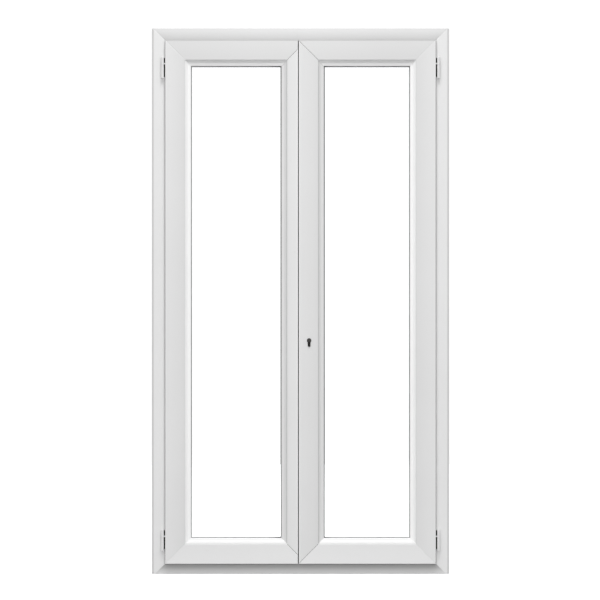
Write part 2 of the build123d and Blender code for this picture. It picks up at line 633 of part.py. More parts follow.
def pinion_outline():
    """The pinion's teeth around (KEY_X, HUB_Z), as (x, z) points."""
    rising = (PITCH_R - DEDENDUM, BASE_R, PITCH_R, PITCH_R + ADDENDUM / 2, PITCH_R + ADDENDUM)
    points = []
    for tooth in range(TEETH):
        middle = 2 * pi * tooth / TEETH
        flanks = [(r, -pinion_half_angle(r)) for r in rising]
        flanks += [(r, pinion_half_angle(r)) for r in reversed(rising)]
        for radius, turn in flanks:
            angle = middle + turn
            points.append((KEY_X + radius * cos(angle), HUB_Z + radius * sin(angle)))
    return points


def rack(back, side, first, count):
    """A rack between back and the pinion; side is -1 or 1, and first is its lowest tooth."""
    pitch_x = KEY_X + side * PITCH_R
    root = pitch_x + side * DEDENDUM
    tip = pitch_x - side * ADDENDUM
    root_half = TOOTH_HALF + DEDENDUM * tan(PRESSURE)
    tip_half = TOOTH_HALF - ADDENDUM * tan(PRESSURE)
    points = [(back, first - root_half)]
    for tooth in range(count):
        z = first + tooth * RACK_PITCH
        points += [(root, z - root_half), (tip, z - tip_half)]
        points += [(tip, z + tip_half), (root, z + root_half)]
    points.append((back, points[-1][1]))
    with BuildSketch(Plane.XZ.offset(-RACK_Y[0])) as outline:
        with BuildLine():
            Polyline(*points, close=True)
        make_face()
    extrude(outline.sketch, amount=-(RACK_Y[1] - RACK_Y[0]))


with BuildPart() as lock_case:
    block(*CASE)
    block(
        CASE[0] + CASE_WALL,
        CASE[1] - CASE_WALL,
        CASE[2] + CASE_WALL,
        CASE[3] - CASE_WALL,
        CASE[4] + CASE_WALL,
        CASE[5] - CASE_WALL,
        Mode.SUBTRACT,
    )
    extrude(euro_profile(0.3, CASE[2] - 1), amount=-(CASE[3] - CASE[2] + 2), mode=Mode.SUBTRACT)
    rod_along_y(KEY_X, HUB_Z, 7.0 + RUNNING, CASE[2] - 1, CASE[3] + 1, Mode.SUBTRACT)
    mouth_z = (BOLT_Z - BOLT_HALF_HEIGHT - 0.4, BOLT_Z + BOLT_HALF_HEIGHT + 0.4)
    # one slot for the dead bolt, the lower rod's arm and the upper rod's rack
    slot_top = HUB_Z + ROD_TRAVEL + 2 * RACK_REST + 1
    block(CASE[0] - 1, CASE[0] + 3, *MOUTH_Y, mouth_z[0], slot_top, Mode.SUBTRACT)
save(lock_case, "lock_case")

with BuildPart() as lock_faceplate:
    block(RIGHT_SIDE, RIGHT_SIDE + PLATE, *GROOVE_Y, *PLATE_Z)
    block(RIGHT_SIDE - 1, RIGHT_SIDE + 3, *MOUTH_Y, *mouth_z, Mode.SUBTRACT)
    for z in (130.0, 560.0, 880.0, 1100.0, 1600.0, 2070.0):
        with Locations(Location((RIGHT_SIDE, LOCK_Y, z), (0, -90, 0))):
            CounterSinkHole(SCREW_R, SCREW_HEAD_R)
save(lock_faceplate, "lock_faceplate")

with BuildPart() as dead_bolt:
    tip_x = RIGHT_SIDE + 0.3
    bolt_z = (BOLT_Z - BOLT_HALF_HEIGHT, BOLT_Z + BOLT_HALF_HEIGHT)
    block(tip_x, tip_x + 30, LOCK_Y - 5, LOCK_Y + 5, *bolt_z)
    chamfer(dead_bolt.faces().sort_by(Axis.X)[0].edges(), 0.8)
save(dead_bolt, "dead_bolt")

with BuildPart() as gearbox_hub:
    with BuildSketch(Plane.XZ.offset(-RACK_Y[0])):
        with BuildLine():
            Polyline(*pinion_outline(), close=True)
        make_face()
    extrude(amount=-(RACK_Y[1] - RACK_Y[0]))
    rod_along_y(KEY_X, HUB_Z, 7.0, CASE[2], CASE[3])
    # square hole for the handle's spindle
    block(KEY_X - 3.5, KEY_X + 3.5, CASE[2] - 1, CASE[3] + 1, HUB_Z - 3.5, HUB_Z + 3.5, Mode.SUBTRACT)
save(gearbox_hub, "gearbox_hub")

RACK_TEETH = round(ROD_TRAVEL / RACK_PITCH) + 3
with BuildPart() as right_top_rod:
    block(*ROD_X, *ROD_Y, RACK_FOOT, TIP_ENDS[1] - TIP_LENGTH + 4)
    block(*RIGHT_TIP, *TIP_Y, TIP_ENDS[1] - TIP_LENGTH, TIP_ENDS[1])
    chamfer(right_top_rod.faces().sort_by(Axis.Z)[-1].edges(), 1.5)
    rack(ROD_X[0] + 1, -1, HUB_Z - ROD_TRAVEL - RACK_PITCH / 2, RACK_TEETH)
save(right_top_rod, "right_top_rod")

with BuildPart() as right_bottom_rod:
    low = TIP_ENDS[0]
    rack_back = CASE[1] - CASE_WALL - 0.3
    block(*ROD_X, *ROD_Y, low + TIP_LENGTH - 4, ARM_TOP)
    block(*RIGHT_TIP, *TIP_Y, low, low + TIP_LENGTH)
    chamfer(right_bottom_rod.faces().sort_by(Axis.Z)[0].edges(), 1.5)
    rack(rack_back, 1, HUB_Z - 1.5 * RACK_PITCH, RACK_TEETH)
    block(ROD_X[0] + 1, rack_back, *RACK_Y, ARM_TOP - ARM, ARM_TOP)
    block(rack_back - 3, rack_back, *RACK_Y, ARM_TOP - ARM, HUB_Z)
    # slot that lets the dead bolt through at both ends of the rod's travel
    slot_z = (mouth_z[0] - 0.6, mouth_z[1] + 0.6 + ROD_TRAVEL)
    block(ROD_X[0] - 1, ROD_X[1] + 1, LOCK_Y - 5.6, LOCK_Y + 5.6, *slot_z, Mode.SUBTRACT)
save(right_bottom_rod, "right_bottom_rod")

CYLINDER_Y = (SASH_FACE - 3.0, SASH_BACK + 3.0)
CAM_HALF = 5.0
with BuildPart() as cylinder_body:
    extrude(euro_profile(0.0, CYLINDER_Y[0]), amount=-(CYLINDER_Y[1] - CYLINDER_Y[0]))
    chamfer(cylinder_body.faces().sort_by(Axis.Y)[0].edges(), 0.5)
    chamfer(cylinder_body.faces().sort_by(Axis.Y)[-1].edges(), 0.5)
    rod_along_y(KEY_X, KEY_Z, PLUG_R + RUNNING, CYLINDER_Y[0] - 1, CYLINDER_Y[1] + 1, Mode.SUBTRACT)
    # gap for the cam, with a bridge left under it
    cam_gap_y = (LOCK_Y - CAM_HALF, LOCK_Y + CAM_HALF)
    block(KEY_X - 10, KEY_X + 10, *cam_gap_y, KEY_Z - 14, KEY_Z + 10, Mode.SUBTRACT)
save(cylinder_body, "cylinder_body")

with BuildPart() as cylinder_plug:
    rod_along_y(KEY_X, KEY_Z, PLUG_R, CYLINDER_Y[0] + 0.4, CYLINDER_Y[1] - 0.4)
    for y0, y1 in ((CYLINDER_Y[0], CYLINDER_Y[0] + 25), (CYLINDER_Y[1] - 25, CYLINDER_Y[1])):
        block(KEY_X - 1.2, KEY_X + 1.2, y0, y1, KEY_Z - 5.2, KEY_Z + 3.4, Mode.SUBTRACT)
save(cylinder_plug, "cylinder_plug")

with BuildPart() as cylinder_cam:
    cam_y = (LOCK_Y - CAM_HALF + 0.4, LOCK_Y + CAM_HALF - 0.4)
    rod_along_y(KEY_X, KEY_Z, 8.4, *cam_y)
    block(KEY_X - 3.5, KEY_X + 3.5, *cam_y, KEY_Z, KEY_Z + 12.4)
    rod_along_y(KEY_X, KEY_Z, PLUG_R, cam_y[0] - 1, cam_y[1] + 1, Mode.SUBTRACT)
save(cylinder_cam, "cylinder_cam")

# ---------------------------------------------------------------- bolts in the left leaf's edge

BOLT_X = (LEFT_SIDE - PLATE - 2.8, LEFT_SIDE - PLATE - 0.3)
BOLT_PLATE = 260.0
KNOB = 24.0
KNOB_Y = (LOCK_Y - 4.0, LOCK_Y + 4.0)

KNOB_REACH = 150.0                       # from the end of a bolt plate to its knob, at rest
TOP_PLATE = (PLATE_Z[1] - BOLT_PLATE, PLATE_Z[1] - KNOB_REACH)
BOTTOM_PLATE = (PLATE_Z[0], PLATE_Z[0] + KNOB_REACH - KNOB - ROD_TRAVEL)

with BuildPart() as left_bolt_plates:
    for z0, knob_low in (TOP_PLATE, BOTTOM_PLATE):
        block(LEFT_SIDE - PLATE, LEFT_SIDE, *GROOVE_Y, z0, z0 + BOLT_PLATE)
        slot_z = (knob_low - 1, knob_low + KNOB + ROD_TRAVEL + 1)
        block(LEFT_SIDE - 4, LEFT_SIDE + 1, LOCK_Y - 4.5, LOCK_Y + 4.5, *slot_z, Mode.SUBTRACT)
        for z in (z0 + 14, z0 + BOLT_PLATE - 14):
            with Locations(Location((LEFT_SIDE, LOCK_Y, z), (0, 90, 0))):
                CounterSinkHole(SCREW_R, SCREW_HEAD_R)
save(left_bolt_plates, "left_bolt_plates")

with BuildPart() as left_top_bolt:
    block(*BOLT_X, *ROD_Y, PLATE_Z[1] - BOLT_PLATE + 10, TIP_ENDS[1] - TIP_LENGTH + 4)
    block(*LEFT_TIP, *TIP_Y, TIP_ENDS[1] - TIP_LENGTH, TIP_ENDS[1])
    chamfer(left_top_bolt.faces().sort_by(Axis.Z)[-1].edges(), 1.5)
    knob_low = PLATE_Z[1] - KNOB_REACH
    block(BOLT_X[1] - 1, LEFT_SIDE - 0.2, *KNOB_Y, knob_low, knob_low + KNOB)
save(left_top_bolt, "left_top_bolt")

with BuildPart() as left_bottom_bolt:
    low = TIP_ENDS[0]
    block(*BOLT_X, *ROD_Y, low + TIP_LENGTH - 4, PLATE_Z[0] + BOLT_PLATE - 10)
    block(*LEFT_TIP, *TIP_Y, low, low + TIP_LENGTH)
    chamfer(left_bottom_bolt.faces().sort_by(Axis.Z)[0].edges(), 1.5)
    knob_high = PLATE_Z[0] + KNOB_REACH
    block(BOLT_X[1] - 1, LEFT_SIDE - 0.2, *KNOB_Y, knob_high - KNOB, knob_high)
save(left_bottom_bolt, "left_bottom_bolt")

with BuildPart() as lock_striker:
    block(LEFT_SIDE - PLATE, LEFT_SIDE, *GROOVE_Y, BOLT_Z - 45, BOLT_Z + 45)
    block(LEFT_SIDE - 4, LEFT_SIDE + 1, LOCK_Y - 6, LOCK_Y + 6, *pocket_z, Mode.SUBTRACT)
    for z in (BOLT_Z - 34, BOLT_Z + 34):
        with Locations(Location((LEFT_SIDE, LOCK_Y, z), (0, 90, 0))):
            CounterSinkHole(SCREW_R, SCREW_HEAD_R)
save(lock_striker, "lock_striker")
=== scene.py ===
"""Looks for the two-leaf PVC casement window: materials, small details, studio and camera.

Everything is in metres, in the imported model's frame: +X right, +Y out of doors, +Z up.
"""
import json
import math

import bmesh
import bpy
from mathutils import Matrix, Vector


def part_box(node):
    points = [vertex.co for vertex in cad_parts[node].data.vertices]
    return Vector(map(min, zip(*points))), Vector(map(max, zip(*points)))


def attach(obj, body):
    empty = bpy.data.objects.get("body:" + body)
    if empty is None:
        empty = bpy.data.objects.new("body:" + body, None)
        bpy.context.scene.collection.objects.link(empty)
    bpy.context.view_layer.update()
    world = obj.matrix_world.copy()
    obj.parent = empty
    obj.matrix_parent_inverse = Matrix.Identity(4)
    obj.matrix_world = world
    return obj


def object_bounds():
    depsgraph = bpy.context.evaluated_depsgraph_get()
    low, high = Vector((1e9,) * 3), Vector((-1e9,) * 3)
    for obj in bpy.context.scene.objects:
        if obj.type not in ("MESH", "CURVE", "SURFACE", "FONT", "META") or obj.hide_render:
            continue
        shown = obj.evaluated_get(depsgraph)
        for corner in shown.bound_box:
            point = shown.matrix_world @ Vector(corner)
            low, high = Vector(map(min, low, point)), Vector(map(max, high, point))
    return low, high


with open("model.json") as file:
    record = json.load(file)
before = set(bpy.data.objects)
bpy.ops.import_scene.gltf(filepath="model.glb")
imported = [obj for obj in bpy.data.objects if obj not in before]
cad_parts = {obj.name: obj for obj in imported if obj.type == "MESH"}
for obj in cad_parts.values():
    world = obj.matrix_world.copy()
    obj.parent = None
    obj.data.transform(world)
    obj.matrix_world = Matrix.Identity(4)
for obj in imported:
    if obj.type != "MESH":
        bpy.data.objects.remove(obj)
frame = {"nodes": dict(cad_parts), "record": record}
CAD_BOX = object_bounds()
NODES = frame["nodes"]
SLOTS = {part["node"]: part["material_slot"] for part in frame["record"]["subparts"]}
MM = 0.001

# each leaf: its side, its stile at the meeting line, and its way outwards in X
LEAVES = (("left", "meeting", -1), ("right", "lock", 1))

MIDDLE_Z = (CAD_BOX[0][2] + CAD_BOX[1][2]) / 2
FRAME_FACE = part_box("frame_head")[0][1]              # room face of the fixed frame
LEAF_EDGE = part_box("right_hinge_stile")[1][0]        # hinge edge of a leaf, from the middle
LIP_SEAL_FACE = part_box("right_leaf_seal")[0][1]
# where each leaf's face ends at the meeting line
MEETING_EDGES = {"left": -10.5 * MM, "right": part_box("right_lock_stile")[0][0]}


# ---------------------------------------------------------------- material helpers

WHITE = (1.0, 1.0, 1.0)
# the Mix node's colour sockets share their names with its number sockets, so they go by index
FIRST_COLOUR, SECOND_COLOUR, MIXED_COLOUR = 6, 7, 2


def grey(value):
    """A neutral grey, as a colour."""
    return value, value, value


def shade(tone, factor):
    """A colour made darker or lighter, with no channel over 1."""
    return tuple(min(1.0, channel * factor) for channel in tone)


def start_material(name):
    """A new node material, its node tree and its Principled shader."""
    material = bpy.data.materials.new(name)
    material.use_nodes = True
    tree = material.node_tree
    return material, tree, tree.nodes["Principled BSDF"]


def node(tree, kind, **settings):
    """A new shader node with its properties set."""
    made = tree.nodes.new(kind)
    for key, value in settings.items():
        setattr(made, key, value)
    return made


def noise(tree, per_metre, detail=2.0, roughness=0.5):
    """Noise in object space. per_metre is features per metre, one number or one for each axis."""
    scale = (per_metre,) * 3 if isinstance(per_metre, float) else per_metre
    place = node(tree, "ShaderNodeTexCoord")
    stretch = node(tree, "ShaderNodeMapping")
    stretch.inputs["Scale"].default_value = scale
    made = node(tree, "ShaderNodeTexNoise")
    made.inputs["Scale"].default_value = 1.0
    made.inputs["Detail"].default_value = detail
    made.inputs["Roughness"].default_value = roughness
    tree.links.new(place.outputs["Object"], stretch.inputs["Vector"])
    tree.links.new(stretch.outputs["Vector"], made.inputs["Vector"])
    return made.outputs["Fac"]


def ramp(tree, value, stops):
    """Colours against a value. stops are (position, colour)."""
    made = node(tree, "ShaderNodeValToRGB")
    elements = made.color_ramp.elements
    while len(elements) < len(stops):
        elements.new(0.5)
    for element, (position, colour) in zip(elements, stops):
        element.position = position
        element.color = (*colour, 1.0)
    tree.links.new(value, made.inputs["Fac"])
    return made.outputs["Color"]


def to_range(tree, value, low, high):
    """A value from 0 to 1, spread from low to high."""
    made = node(tree, "ShaderNodeMapRange")
    made.inputs["To Min"].default_value = low
    made.inputs["To Max"].default_value = high
    tree.links.new(value, made.inputs["Value"])
    return made.outputs["Result"]


def from_range(tree, value, low, high):
    """How far a value has come from low to high, from 0 to 1."""
    made = node(tree, "ShaderNodeMapRange")
    made.inputs["From Min"].default_value = low
    made.inputs["From Max"].default_value = high
    tree.links.new(value, made.inputs["Value"])
    return made.outputs["Result"]


def mix_colour(tree, factor, first, second, blend="MIX"):
    """Two colours mixed. Each of the three inputs is a socket, and else a number or a colour."""
    made = node(tree, "ShaderNodeMix", data_type="RGBA", blend_type=blend)
    inputs = (
        (made.inputs["Factor"], factor),
        (made.inputs[FIRST_COLOUR], first),
        (made.inputs[SECOND_COLOUR], second),
    )
    for socket, value in inputs:
        if isinstance(value, float):
            socket.default_value = value
        elif isinstance(value, tuple):
            socket.default_value = (*value, 1.0)
        else:
            tree.links.new(value, socket)
    return made.outputs[MIXED_COLOUR]


def bump_chain(tree, shader, layers):
    """Bump layers, each (height, distance in metres, strength), one feeding the next."""
    last = None
    for height, distance, strength in layers:
        bump = node(tree, "ShaderNodeBump")
        bump.inputs["Distance"].default_value = distance
        bump.inputs["Strength"].default_value = strength
        tree.links.new(height, bump.inputs["Height"])
        if last:
            tree.links.new(last, bump.inputs["Normal"])
        last = bump.outputs["Normal"]
    tree.links.new(last, shader.inputs["Normal"])


def edge_mask(tree, radius):
    """1 on edges and 0 on flats: how far a rounded normal leans from the face's own."""
    rounded = node(tree, "ShaderNodeBevel", samples=4)
    rounded.inputs["Radius"].default_value = radius
    flat = node(tree, "ShaderNodeNewGeometry")
    dot = node(tree, "ShaderNodeVectorMath", operation="DOT_PRODUCT")
    tree.links.new(rounded.outputs["Normal"], dot.inputs[0])
    tree.links.new(flat.outputs["Normal"], dot.inputs[1])
    return from_range(tree, dot.outputs["Value"], 1.0, 0.8)


def distance_from(tree, axis, middle):
    """How far a point lies from a plane across an axis, in metres."""
    place = node(tree, "ShaderNodeTexCoord")
    split = node(tree, "ShaderNodeSeparateXYZ")
    tree.links.new(place.outputs["Object"], split.inputs["Vector"])
    offset = node(tree, "ShaderNodeMath", operation="SUBTRACT")
    offset.inputs[1].default_value = middle
    tree.links.new(split.outputs[axis], offset.inputs[0])
    size = node(tree, "ShaderNodeMath", operation="ABSOLUTE")
    tree.links.new(offset.outputs["Value"], size.inputs[0])
    return size.outputs["Value"]


def fading_tone(tree, axis, middle, stops):
    """A grey that goes by the distance from a plane. stops are (distance, tone), outwards."""
    near, far = stops[0][0], stops[-1][0]
    travel = from_range(tree, distance_from(tree, axis, middle), near, far)
    places = [((distance - near) / (far - near), grey(tone)) for distance, tone in stops]
    return ramp(tree, travel, places)


# ---------------------------------------------------------------- materials

PLAIN_PVC = grey(0.80)
DIE_LINES = {"x": (3.0, 900.0, 900.0), "z": (900.0, 900.0, 3.0)}      # per metre, by the member's way


def pvc(name, way, painted_shading=None):
    """White extruded PVC: fine die lines along the member, a soft skin ripple, a satin gloss and a
    painted highlight on its edges.

    painted_shading is (axis, middle, stops), as fading_tone takes them: painted light and shade across
    the member.
    """
    material, tree, shader = start_material(name)
    tone = fading_tone(tree, *painted_shading) if painted_shading else PLAIN_PVC
    cloud = noise(tree, 2.2, 3.0)
    body = ramp(tree, cloud, [(0.3, grey(0.972)), (0.7, WHITE)])
    body = mix_colour(tree, 1.0, body, tone, "MULTIPLY")
    dust = noise(tree, 60.0, 5.0, 0.65)
    specks = ramp(tree, dust, [(0.62, WHITE), (0.78, (0.955, 0.95, 0.94))])
    body = mix_colour(tree, 0.6, body, specks, "MULTIPLY")
    # painted highlight: the edges are mixed a fifth of the way to white
    edge_highlight = edge_mask(tree, 1.2 * MM)
    body = mix_colour(tree, edge_highlight, body, mix_colour(tree, 0.2, tone, WHITE))
    tree.links.new(body, shader.inputs["Base Color"])
    rub = noise(tree, 9.0, 4.0, 0.6)
    tree.links.new(to_range(tree, rub, 0.24, 0.42), shader.inputs["Roughness"])
    skin = noise(tree, 140.0)
    lines = noise(tree, DIE_LINES[way], 3.0, 0.6)
    bump_chain(tree, shader, [(skin, 0.25 * MM, 0.12), (lines, 0.06 * MM, 0.35)])
    shader.inputs["IOR"].default_value = 1.53
    shader.inputs["Specular IOR Level"].default_value = 0.42
    return material


def coated_metal(name, tone):
    """White powder coat: a fine pebbled skin with a painted highlight on the edges."""
    material, tree, shader = start_material(name)
    cloud = noise(tree, 30.0, 3.0)
    body = ramp(tree, cloud, [(0.3, shade(tone, 0.96)), (0.75, tone)])
    # painted highlight: the edges are 6 % lighter
    edge_highlight = edge_mask(tree, 0.8 * MM)
    body = mix_colour(tree, edge_highlight, body, shade(tone, 1.06))
    tree.links.new(body, shader.inputs["Base Color"])
    tree.links.new(to_range(tree, cloud, 0.3, 0.45), shader.inputs["Roughness"])
    pebble = noise(tree, 1600.0)
    bump_chain(tree, shader, [(pebble, 0.08 * MM, 0.35)])
    return material


def moulded(name, tone, shine=0.5):
    """Moulded nylon with a spark-eroded grain."""
    material, tree, shader = start_material(name)
    cloud = noise(tree, 45.0, 3.0)
    body = ramp(tree, cloud, [(0.3, shade(tone, 0.93)), (0.75, tone)])
    tree.links.new(body, shader.inputs["Base Color"])
    grain = noise(tree, 2200.0)
    tree.links.new(to_range(tree, grain, 0.45, 0.62), shader.inputs["Roughness"])
    shader.inputs["Specular IOR Level"].default_value = shine
    bump_chain(tree, shader, [(grain, 0.1 * MM, 0.3)])
    return material


def rubber(name, tone, meeting_shade=1.0):
    """EPDM seal: matt, with a dusty bloom, and painted shade beside the meeting line.

    meeting_shade is the share of its grey that is left within 90 mm of the meeting line: painted
    shade.
    """
    material, tree, shader = start_material(name)
    bloom = noise(tree, 80.0, 5.0, 0.7)
    body = ramp(tree, bloom, [(0.35, tone), (0.8, tuple(channel + 0.10 for channel in tone))])
    # painted shade: darker within 90 mm of the meeting line, fading out by 130 mm
    from_middle = distance_from(tree, "X", 0.0)
    meeting_shade_ramp = ramp(tree, from_middle, [(0.09, grey(meeting_shade)), (0.13, WHITE)])
    body = mix_colour(tree, 1.0, body, meeting_shade_ramp, "MULTIPLY")
    tree.links.new(body, shader.inputs["Base Color"])
    tree.links.new(to_range(tree, bloom, 0.6, 0.8), shader.inputs["Roughness"])
    grain = noise(tree, 1500.0)
    bump_chain(tree, shader, [(grain, 0.1 * MM, 0.35)])
    return material


def brushed(name, tone, lines_per_metre, rough=(0.22, 0.4), spangle=0.0):
    """Plated or brushed metal: fine lines one way, patches of dullness, and a painted highlight that
    makes the edges brighter.

    spangle is how strongly the crystals of a galvanised surface show.
    """
    material, tree, shader = start_material(name)
    patches = noise(tree, 35.0, 5.0, 0.6)
    body = ramp(tree, patches, [(0.3, shade(tone, 0.8)), (0.7, tone)])
    if spangle:
        cells = node(tree, "ShaderNodeTexVoronoi")
        cells.inputs["Scale"].default_value = 120.0
        place = node(tree, "ShaderNodeTexCoord")
        tree.links.new(place.outputs["Object"], cells.inputs["Vector"])
        crystals = ramp(tree, cells.outputs["Distance"], [(0.0, WHITE), (0.9, (0.8, 0.82, 0.84))])
        body = mix_colour(tree, spangle, body, crystals, "MULTIPLY")
    # painted highlight: the edges are 20 % brighter
    edge_highlight = edge_mask(tree, 0.5 * MM)
    body = mix_colour(tree, edge_highlight, body, shade(tone, 1.2))
    tree.links.new(body, shader.inputs["Base Color"])
    lines = noise(tree, lines_per_metre, 4.0, 0.7)
    tree.links.new(to_range(tree, lines, *rough), shader.inputs["Roughness"])
    shader.inputs["Metallic"].default_value = 1.0
    bump_chain(tree, shader, [(lines, 0.03 * MM, 0.3)])
    return material


def float_glass(name):
    """Clear float glass with a faint green body and the slightest roll in its surface."""
    material, tree, shader = start_material(name)
    shader.inputs["Base Color"].default_value = (0.992, 0.997, 0.995, 1.0)
    shader.inputs["Transmission Weight"].default_value = 1.0
    shader.inputs["IOR"].default_value = 1.5
    wipe = noise(tree, (14.0, 14.0, 5.0), 4.0, 0.6)
    tree.links.new(to_range(tree, wipe, 0.0, 0.018), shader.inputs["Roughness"])
    roll = noise(tree, (1.6, 1.6, 0.7), 1.0)
    bump_chain(tree, shader, [(roll, 0.4 * MM, 0.08)])
    return material


ALONG_Y_FINE = (1400.0, 40.0, 1400.0)                # turned marks on the cylinder, per metre
PVC = pvc("pvc_along_z", "z")
COAT = coated_metal("white_powder_coat", grey(0.80))
NYLON = moulded("white_nylon", (0.78, 0.78, 0.77))
PACKER = moulded("blue_packer", (0.10, 0.20, 0.42))
# near black, for the painted shade in the hinge slots
SLOT_SHADE_BLACK = moulded("painted_slot_shade", grey(0.005), 0.1)
# dark grey, for the painted shade in the weld grooves
GROOVE_SHADE = moulded("painted_groove_shade", grey(0.16))
# the grey seals get painted shade beside the meeting line
SEAL = rubber("grey_epdm", (0.29, 0.29, 0.295), 0.15)
LEAF_SEAL = rubber("black_epdm", (0.03, 0.03, 0.031))
STEEL = brushed("galvanised", (0.62, 0.64, 0.66), (40.0, 700.0, 40.0), (0.35, 0.55), 0.7)
ZINC = brushed("zinc_plate", (0.50, 0.51, 0.525), (900.0, 900.0, 12.0))
# the cylinder and its plug are painted near black: painted shade of the cylinder's recess
NICKEL = brushed("nickel_with_painted_shade", (0.025, 0.024, 0.023), ALONG_Y_FINE, (0.3, 0.45))
PLUG = brushed("plug_nickel_with_painted_shade", (0.09, 0.088, 0.084), ALONG_Y_FINE, (0.25, 0.4))
ALUMINIUM = brushed("mill_aluminium", (0.72, 0.73, 0.74), (12.0, 900.0, 12.0), (0.3, 0.45))
GLASS = float_glass("float_glass")

BY_SLOT = {
    "white_pvc": PVC,
    "white_beads": PVC,
    "white_caps": NYLON,
    "white_hinges": COAT,
    "grey_rubber": SEAL,
    "clear_glass": GLASS,
    "spacer_aluminium": ALUMINIUM,
    "packer_plastic": PACKER,
    "galvanised_steel": STEEL,
    "zinc_hardware": ZINC,
    "nickel_cylinder": NICKEL,
}

# Tones of the frame's members against the distance from the window's middle in mm.  They are
# painted shade: the leaves' shadow on the sill, shade on the head beside them, darker outer edges.
HEAD_TONES = [(1052, 0.58), (1088, 0.79), (1098, 0.79), (1099.8, 0.40)]
SILL_TONES = [(1058, 0.33), (1066, 0.44), (1072, 0.45), (1086, 0.63), (1098, 0.75)]
JAMB_TONES = [(590, 0.84), (593, 0.64), (597, 0.64), (600, 0.76)]

# Tones of each leaf's members and beads against the distance in mm out from the beads' outer
# edge, which is negative on the beads themselves.  They are painted light and shade: members darker
# towards the glass, the bottom rail lighter than the top, painted highlights on the outer edges of
# the bottom rail and the stiles, painted shade on the top rail's outer edge, painted highlights on
# the noses of the rail and hinge-side beads, and painted shade on the beads by the meeting line.
SASH_TONES = {
    "top_rail": [(0, 0.72), (60, 0.765), (76, 0.765), (78.5, 0.50)],
    "bottom_rail": [(0, 0.84), (60, 0.86), (76, 0.86), (78, 0.97)],
    "hinge_stile": [(0, 0.75), (60, 0.805), (76.5, 0.805), (78, 0.86)],
    "meeting_stile": [(0, 0.77), (30, 0.81), (39.5, 0.81), (41, 0.97)],
    "lock_stile": [(0, 0.735), (60, 0.77), (74, 0.77), (75.5, 0.97)],
}
BEAD_TONES = {
    "rail": [(-19, 0.99), (-12, 0.99), (-9, 0.80), (-1, 0.78)],
    "hinge": [(-19, 0.99), (-9, 0.99), (-1, 0.92)],
    "meeting": [(-19, 0.76), (-5, 0.76), (-2.5, 0.58), (-1, 0.58)],
    "lock": [(-19, 0.76), (-5, 0.76), (-2.5, 0.54), (-1, 0.54)],
}


def dress(name, material):
    """Give a CAD node its material."""
    for entry in NODES[name].material_slots:
        entry.material = material


def in_metres(tones, start=0.0):
    """Stops in mm from a start, as stops in metres."""
    return [(start + distance * MM, tone) for distance, tone in tones]


def dress_frame():
    """The fixed frame's four members."""
    # the head, the sill and the jambs get the painted shade of their tone tables
    for name, tones in (("frame_head", HEAD_TONES), ("frame_sill", SILL_TONES)):
        dress(name, pvc(name, "x", ("Z", MIDDLE_Z, in_metres(tones))))
    jamb_pvc = pvc("frame_along_z", "z", ("X", 0.0, in_metres(JAMB_TONES)))
    for name in ("frame_left_jamb", "frame_right_jamb"):
        dress(name, jamb_pvc)


def dress_leaf(side, meeting):
    """A leaf's four members and its beads."""
    stile_beads = (f"{side}_hinge_stile_bead", f"{side}_{meeting}_stile_bead")
    corners = [corner for bead in stile_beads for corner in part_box(bead)]
    across = (min(corner[0] for corner in corners), max(corner[0] for corner in corners))
    rail_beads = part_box(f"{side}_rail_beads")
    upward = (rail_beads[0][2], rail_beads[1][2])
    # each member and bead gets the painted light and shade of its tone table
    for name, way, axis, span, tones in (
        (f"{side}_top_rail", "x", "Z", upward, SASH_TONES["top_rail"]),
        (f"{side}_bottom_rail", "x", "Z", upward, SASH_TONES["bottom_rail"]),
        (f"{side}_hinge_stile", "z", "X", across, SASH_TONES["hinge_stile"]),
        (f"{side}_{meeting}_stile", "z", "X", across, SASH_TONES[f"{meeting}_stile"]),
        (f"{side}_rail_beads", "x", "Z", upward, BEAD_TONES["rail"]),
        (f"{side}_hinge_stile_bead", "z", "X", across, BEAD_TONES["hinge"]),
        (f"{side}_{meeting}_stile_bead", "z", "X", across, BEAD_TONES[meeting]),
    ):
        middle = (span[0] + span[1]) / 2
        half = (span[1] - span[0]) / 2
        dress(name, pvc(name, way, (axis, middle, in_metres(tones, half))))


# ---------------------------------------------------------------- shapes for the small details

BOX_SOFTENING = 0.2                                  # of a box's edges, as a share of its thickness


def piece(name, shape, material, body):
    """Finish a bmesh as an object that rides on a body."""
    mesh = bpy.data.meshes.new(name)
    shape.to_mesh(mesh)
    shape.free()
    mesh.materials.append(material)
    made = bpy.data.objects.new(name, mesh)
    bpy.context.scene.collection.objects.link(made)
    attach(made, body)


def ring(shape, radii, height):
    """A closed ring of points, each at its own radius, evenly spaced round Z."""
    turn = 2 * math.pi / len(radii)
    return [
        shape.verts.new((radius * math.cos(turn * i), radius * math.sin(turn * i), height))
        for i, radius in enumerate(radii)
    ]


def skin_rings(shape, rings):
    """A closed skin over a stack of rings that have the same number of points."""
    count = len(rings[0])
    for lower, upper in zip(rings, rings[1:]):
        for i in range(count):
            j = (i + 1) % count
            shape.faces.new((lower[i], lower[j], upper[j], upper[i]))
    shape.faces.new(rings[-1])
    shape.faces.new(list(reversed(rings[0])))


def add_turned(shape, part, place, axis):
    """Turn a part from +Z to an axis, move it to its place and add it to a shape."""
    turn = Vector(axis).to_track_quat("Z", "Y").to_matrix().to_4x4()
    bmesh.ops.transform(part, matrix=turn, verts=part.verts)
    bmesh.ops.translate(part, vec=place, verts=part.verts)
    held = bpy.data.meshes.new("held")
    part.to_mesh(held)
    part.free()
    shape.from_mesh(held)
    bpy.data.meshes.remove(held)


